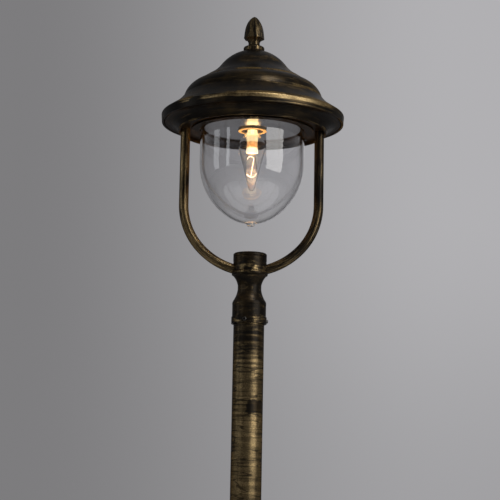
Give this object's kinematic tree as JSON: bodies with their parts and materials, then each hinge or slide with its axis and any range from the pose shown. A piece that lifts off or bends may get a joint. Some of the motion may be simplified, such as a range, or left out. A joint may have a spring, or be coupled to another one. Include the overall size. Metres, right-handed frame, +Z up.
{
  "type": "garden lamp",
  "caption": "Post-mounted garden lantern: stepped round roof with a finial, clear bowl and candle bulb held by bent arms on a hub, with a tube pole and a round foot.",
  "frame": {"origin": "centre of the foot's underside", "axes": "+Z up along the pole; the arms lie in the XZ plane; the picture looks along +Y"},
  "size_m": [0.2298, 0.2298, 1.2],
  "materials": {
    "patina_casting": "near-black paint with gold brushed over the ridges",
    "patina_tube": "near-black paint with gold brushed over it",
    "patina_sheet": "near-black paint with a little gold",
    "dark_screw": "dark screws with worn edges",
    "zinc_steel": "zinc plated",
    "sealing_rubber": "matt black",
    "terminal_plastic": "off-white",
    "reflector_sheet": "bright spun sheet",
    "holder_plastic": "dark moulded plastic",
    "holder_ceramic": "glazed white",
    "contact_brass": "bare brass",
    "bulb_glass": "clear",
    "black_glass": "glossy black",
    "solder": "dull tin",
    "tungsten": "glowing wire",
    "bowl_glass": "clear"
  },
  "bodies": {
    "root": {"foot": "patina_casting", "foot_socket": "patina_casting", "collar": "patina_casting", "hub": "patina_casting", "hub_cap": "patina_casting", "carrier_ring": "patina_casting", "canopy": "patina_casting", "finial": "patina_casting", "pole": "patina_tube", "arm_left": "patina_tube", "arm_right": "patina_tube", "bowl_ring": "patina_sheet", "foot_screws": "dark_screw", "collar_screws": "dark_screw", "bowl_screws": "dark_screw", "neck_nipple": "zinc_steel", "hub_nuts": "zinc_steel", "arm_nuts": "zinc_steel", "threaded_tube": "zinc_steel", "tube_nuts": "zinc_steel", "strap": "zinc_steel", "strap_screws": "zinc_steel", "terminal_screw": "zinc_steel", "finial_washer": "sealing_rubber", "bowl_gasket": "sealing_rubber", "terminal_block": "terminal_plastic", "reflector": "reflector_sheet", "shade_ring": "holder_plastic", "lampholder_skirt": "holder_plastic", "lampholder_cap": "holder_plastic", "lampholder_insert": "holder_ceramic", "lampholder_thread": "contact_brass", "lampholder_contact": "contact_brass", "bulb_cap": "contact_brass", "bulb_glass": "bulb_glass", "bulb_stem": "bulb_glass", "bulb_insulator": "black_glass", "bulb_contact": "solder", "bulb_filament": "tungsten", "bulb_leads": "tungsten", "glass_bowl": "bowl_glass"}
  },
  "joints": []
}
